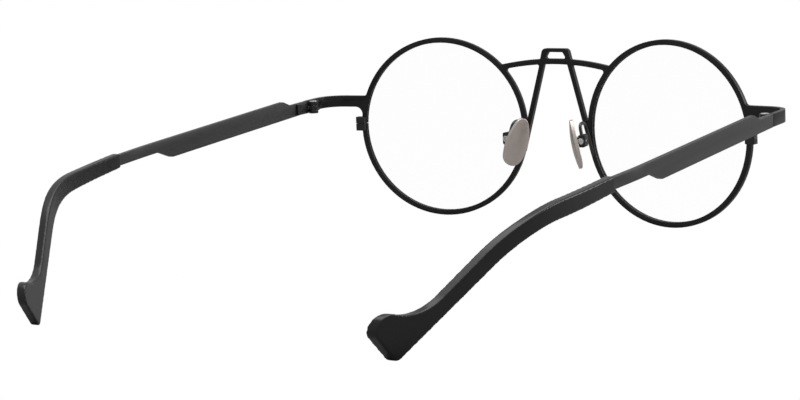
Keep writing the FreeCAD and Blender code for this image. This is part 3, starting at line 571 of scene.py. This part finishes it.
# %% Bend the pad arms
hinges = {joint["name"]: joint for joint in frame["joints"]}
UP = Vector(hinges["temple_left_fold"]["axis"]).normalized()
UP = UP if UP.z > 0 else -UP
BACK = UP.cross(Vector((1, 0, 0))).normalized()
ARM_LINE = ((-0.28, -0.21, 1.3), (-1.03, -0.61, 4.15), (-1.33, -4.2, 4.15), (-0.19, -6.6, -4.8))
ARM_STRETCHES = [(0, 1), (1, 2), (2, 3)]
for side, sign in (("left", 1), ("right", -1)):
    screw = Vector(hinges[f"nose_pad_{side}_rock"]["pos_m"])
    line = [screw + Vector((sign * x, 0, 0)) * MM + BACK * (y * MM) + UP * (z * MM)
            for x, y, z in ARM_LINE]
    arm = grown(f"pad_arm_{side}_wire", BENT_WIRE, {}, line, ARM_STRETCHES)
    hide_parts(f"pad_arm_{side}")
    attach(arm, "front")

# %% [markdown]
# ## The screws
# Six small screws hold the pair together: one in each hinge, one under each rim's closing block,
# and one through each pad's box. They differ in size and in the recess, a slot or a cross, but
# not in kind. The tree makes a cylinder, lowers the rim of its top to a dome, cuts the recess
# with a Boolean, and sets the result on each point, turned to face along a direction that the
# point carries.

# %% Write the rule for a screw
DOME_DROP = -0.12 * MM      # how far the head's top falls at one millimetre from its middle
ABOVE_MIDDLE = 1e6          # turns any height above the head's middle into 1, and below into 0


def screw_rule():
    net, sizes = new_rule("small_screw", {
        "Head Radius": 1 * MM, "Head Height": 0.5 * MM, "Pin Radius": 0.5 * MM,
        "Length": 5 * MM, "Recess Length": 2 * MM, "Recess Width": 0.24 * MM,
        "Recess Depth": 0.2 * MM, "Cross": 0.0})

    def moved(mesh, height):
        vector = net.add("ShaderNodeCombineXYZ", {}, {"Z": height})
        return net.add("GeometryNodeTransform", {}, {"Geometry": mesh, "Translation": vector})

    radius, tall, length = (sizes.out(label) for label in ("Head Radius", "Head Height", "Length"))
    head = net.add("GeometryNodeMeshCylinder", {"fill_type": "TRIANGLE_FAN"},
                   {"Vertices": 40, "Side Segments": 2, "Fill Segments": 5,
                    "Radius": radius, "Depth": tall})
    position = net.add("GeometryNodeInputPosition")
    place = net.add("ShaderNodeSeparateXYZ", {}, {"Vector": position})
    square_mm = (place.out("X") ** 2.0 + place.out("Y") ** 2.0) * (1.0 / (MM * MM))
    upper = limited(place.out("Z") * ABOVE_MIDDLE)
    drop = net.add("ShaderNodeCombineXYZ", {}, {"Z": square_mm * upper * DOME_DROP})
    domed = net.add("GeometryNodeSetPosition", {}, {"Geometry": head, "Offset": drop})
    seated = moved(domed, length - tall * 0.5)
    slots = []
    width, depth = sizes.out("Recess Width"), sizes.out("Recess Depth")
    cross = sizes.out("Cross")
    second = width + (sizes.out("Recess Length") - width) * cross
    for long_x, long_y in ((sizes.out("Recess Length"), width), (width, second)):
        size = net.add("ShaderNodeCombineXYZ", {}, {
            "X": long_x, "Y": long_y, "Z": depth * 2.0})
        slots.append(moved(net.add("GeometryNodeMeshCube", {}, {"Size": size}), length))
    cut = seated
    for slot in slots:
        cut = net.add("GeometryNodeMeshBoolean",
                      {"operation": "DIFFERENCE", "solver": "EXACT"}, {0: cut, 1: slot})
    pin = net.add("GeometryNodeMeshCylinder", {"fill_type": "TRIANGLE_FAN"},
                  {"Vertices": 28, "Radius": sizes.out("Pin Radius"), "Depth": length - tall})
    pin = moved(pin, (length - tall) * 0.5)
    both = net.add("GeometryNodeJoinGeometry")
    for part in (pin, cut):
        net.tree.links.new(part.socket, both.socket.node.inputs[0])
    facing = net.add("GeometryNodeInputNamedAttribute",
                     {"data_type": "FLOAT_VECTOR"}, {"Name": "facing"})
    turn = net.add("FunctionNodeAlignRotationToVector", {"axis": "Z"}, {"Vector": facing})
    placed = net.add("GeometryNodeInstanceOnPoints", {}, {
        "Points": sizes, "Instance": both, "Rotation": turn})
    return end_rule(net, placed, SCREW_STEEL)


SMALL_SCREW = screw_rule()

# %% [markdown]
# The engineering model already holds each screw as a plain cylinder. Its axis and length are
# measured there, so a finished screw starts where the plain one does and ends where it ends. Its
# last corners are rounded very slightly, because bright steel shows its edges as thin lines of
# light.

# %% Set the screws
SCREW_EDGE = 0.03 * MM
SCREW_CORNER = math.radians(40)


def along_node(node, axis):
    """The lowest point on a round part's own axis, and its length along that axis."""
    points = [vertex.co for vertex in frame["nodes"][node].data.vertices]
    first = axis.orthogonal().normalized()
    second = axis.cross(first)
    spans = []
    for direction in (first, second, axis):
        shares = [point.dot(direction) for point in points]
        spans.append((min(shares), max(shares)))
    middle = first * (sum(spans[0]) / 2) + second * (sum(spans[1]) / 2)
    return middle + axis * spans[2][0], spans[2][1] - spans[2][0]


def set_screws(name, node, axes, sizes):
    """Grows the left and the right screw of a pair as one piece in the place of both parts."""
    starts = []
    for side, axis in zip(SIDES, axes):
        start, length = along_node(f"{node}_{side}", axis)
        starts.append(start)
    piece = grown(name, SMALL_SCREW, {**sizes, "Length": length}, starts, facing=axes)
    soft = piece.modifiers.new("rounded_edges", "BEVEL")
    soft.width = SCREW_EDGE
    soft.segments = 2
    soft.limit_method = "ANGLE"
    soft.angle_limit = SCREW_CORNER
    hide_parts(*(f"{node}_{side}" for side in SIDES))
    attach(piece, "front")


rocks = [Vector(hinges[f"nose_pad_{side}_rock"]["axis"]).normalized() for side in SIDES]
rocks = [axis if axis.y > 0 else -axis for axis in rocks]
set_screws("hinge_screws", "hinge_screw", [UP, UP], {
    "Head Radius": 1.0 * MM, "Head Height": 0.5 * MM, "Pin Radius": 0.55 * MM,
    "Recess Length": 2.4 * MM, "Recess Width": 0.26 * MM, "Recess Depth": 0.24 * MM})
set_screws("closing_screws", "closing_screw", [-UP, -UP], {
    "Head Radius": 0.6 * MM, "Head Height": 0.3 * MM, "Pin Radius": 0.35 * MM,
    "Recess Length": 2 * MM, "Recess Width": 0.2 * MM, "Recess Depth": 0.15 * MM})
set_screws("pad_screws", "pad_screw", rocks, {
    "Head Radius": 0.8 * MM, "Head Height": 0.42 * MM, "Pin Radius": 0.5 * MM,
    "Recess Length": 0.95 * MM, "Recess Width": 0.24 * MM, "Recess Depth": 0.26 * MM,
    "Cross": 1.0})

# %% [markdown]
# ## The table
# The pair is shown on a plain pale table against a pale wall, in soft light from all sides. The
# table and the wall are brighter to the eye than what they throw on the glasses, as with a lit
# paper sweep: the black lacquer would look grey if it mirrored pure white.

# %% Lay the table
HALF = 4                                        # half the table's side, in metres
PAPER_DARK, PAPER_PALE = (0.34, 0.34, 0.34, 1), (0.38, 0.38, 0.38, 1)
FIBRES_PER_METRE = 900.0
table = bpy.data.meshes.new("table")
table.from_pydata([(-HALF, -HALF, 0), (HALF, -HALF, 0), (HALF, HALF, 0), (-HALF, HALF, 0)],
                  [], [(0, 1, 2, 3)])
floor = bpy.data.objects.new("table", table)
bpy.context.scene.collection.objects.link(floor)
paper = bpy.data.materials.new("white_paper")
paper.use_nodes = True
net = Net(paper.node_tree)
paper.node_tree.nodes.remove(paper.node_tree.nodes["Principled BSDF"])
place = net.add("ShaderNodeTexCoord", take=OBJECT_SPACE)
fibre = net.add("ShaderNodeTexNoise", {}, {"Vector": place, "Scale": FIBRES_PER_METRE})
tone = net.add("ShaderNodeMix", {"data_type": "RGBA"},
               {MIX_SHARE: fibre, MIX_FIRST: PAPER_DARK, MIX_SECOND: PAPER_PALE},
               take=MIX_COLOUR)
shade = net.add("ShaderNodeBsdfDiffuse", {}, {"Color": tone})
glow = net.add("ShaderNodeEmission", {}, {"Color": (1, 1, 1, 1), "Strength": 1.0})
seen = net.add("ShaderNodeLightPath").out("Is Camera Ray")
mixed = net.add("ShaderNodeMixShader", {}, {0: seen, 1: shade, 2: glow})
net.tree.links.new(mixed.socket, paper.node_tree.nodes["Material Output"].inputs["Surface"])
table.materials.append(paper)
print("table", 2 * HALF, "m wide, its paper with", len(net.tree.nodes), "nodes")

# %% [markdown]
# ## The light
# The room gives soft light from everywhere, as a pale wall does. Two large area lamps, one
# overhead and one at the side of the right temple, add the broad highlights that show which way a
# black surface turns. Large lamps make soft edges on the highlights, and small ones would make
# dots.

# %% Light the room
ROOM_LIGHT = 0.55          # what the wall throws on the glasses, where the eye sees 1
world = bpy.data.worlds.new("soft_room")
bpy.context.scene.world = world
world.use_nodes = True
room = Net(world.node_tree)
direct = room.add("ShaderNodeBackground", {}, {"Color": (1, 1, 1, 1), "Strength": 1.0})
around = room.add("ShaderNodeBackground", {}, {
    "Color": (1.0, 0.99, 0.98, 1), "Strength": ROOM_LIGHT})
seen = room.add("ShaderNodeLightPath").out("Is Camera Ray")
mixed = room.add("ShaderNodeMixShader", {}, {0: seen, 1: around, 2: direct})
world.node_tree.links.new(mixed.socket, world.node_tree.nodes["World Output"].inputs["Surface"])


def softbox(name, place, aim, size, power):
    """A rectangular lamp of `power` watts that looks at `aim`."""
    lamp = bpy.data.lights.new(name, "AREA")
    lamp.shape = "RECTANGLE"
    lamp.size, lamp.size_y = size
    lamp.energy = power
    box = bpy.data.objects.new(name, lamp)
    box.location = place
    box.rotation_euler = (Vector(aim) - Vector(place)).to_track_quat("-Z", "Y").to_euler()
    bpy.context.scene.collection.objects.link(box)
    print(name, "gives", power, "W from", place)


softbox("top_box", (0.1, -0.1, 0.9), (0, 0, 0), (0.9, 0.9), 6.0)
softbox("side_box", (-0.7, -0.5, 0.35), (0, 0, 0.02), (0.5, 0.4), 3.0)
bpy.context.scene.view_settings.view_transform = "Standard"
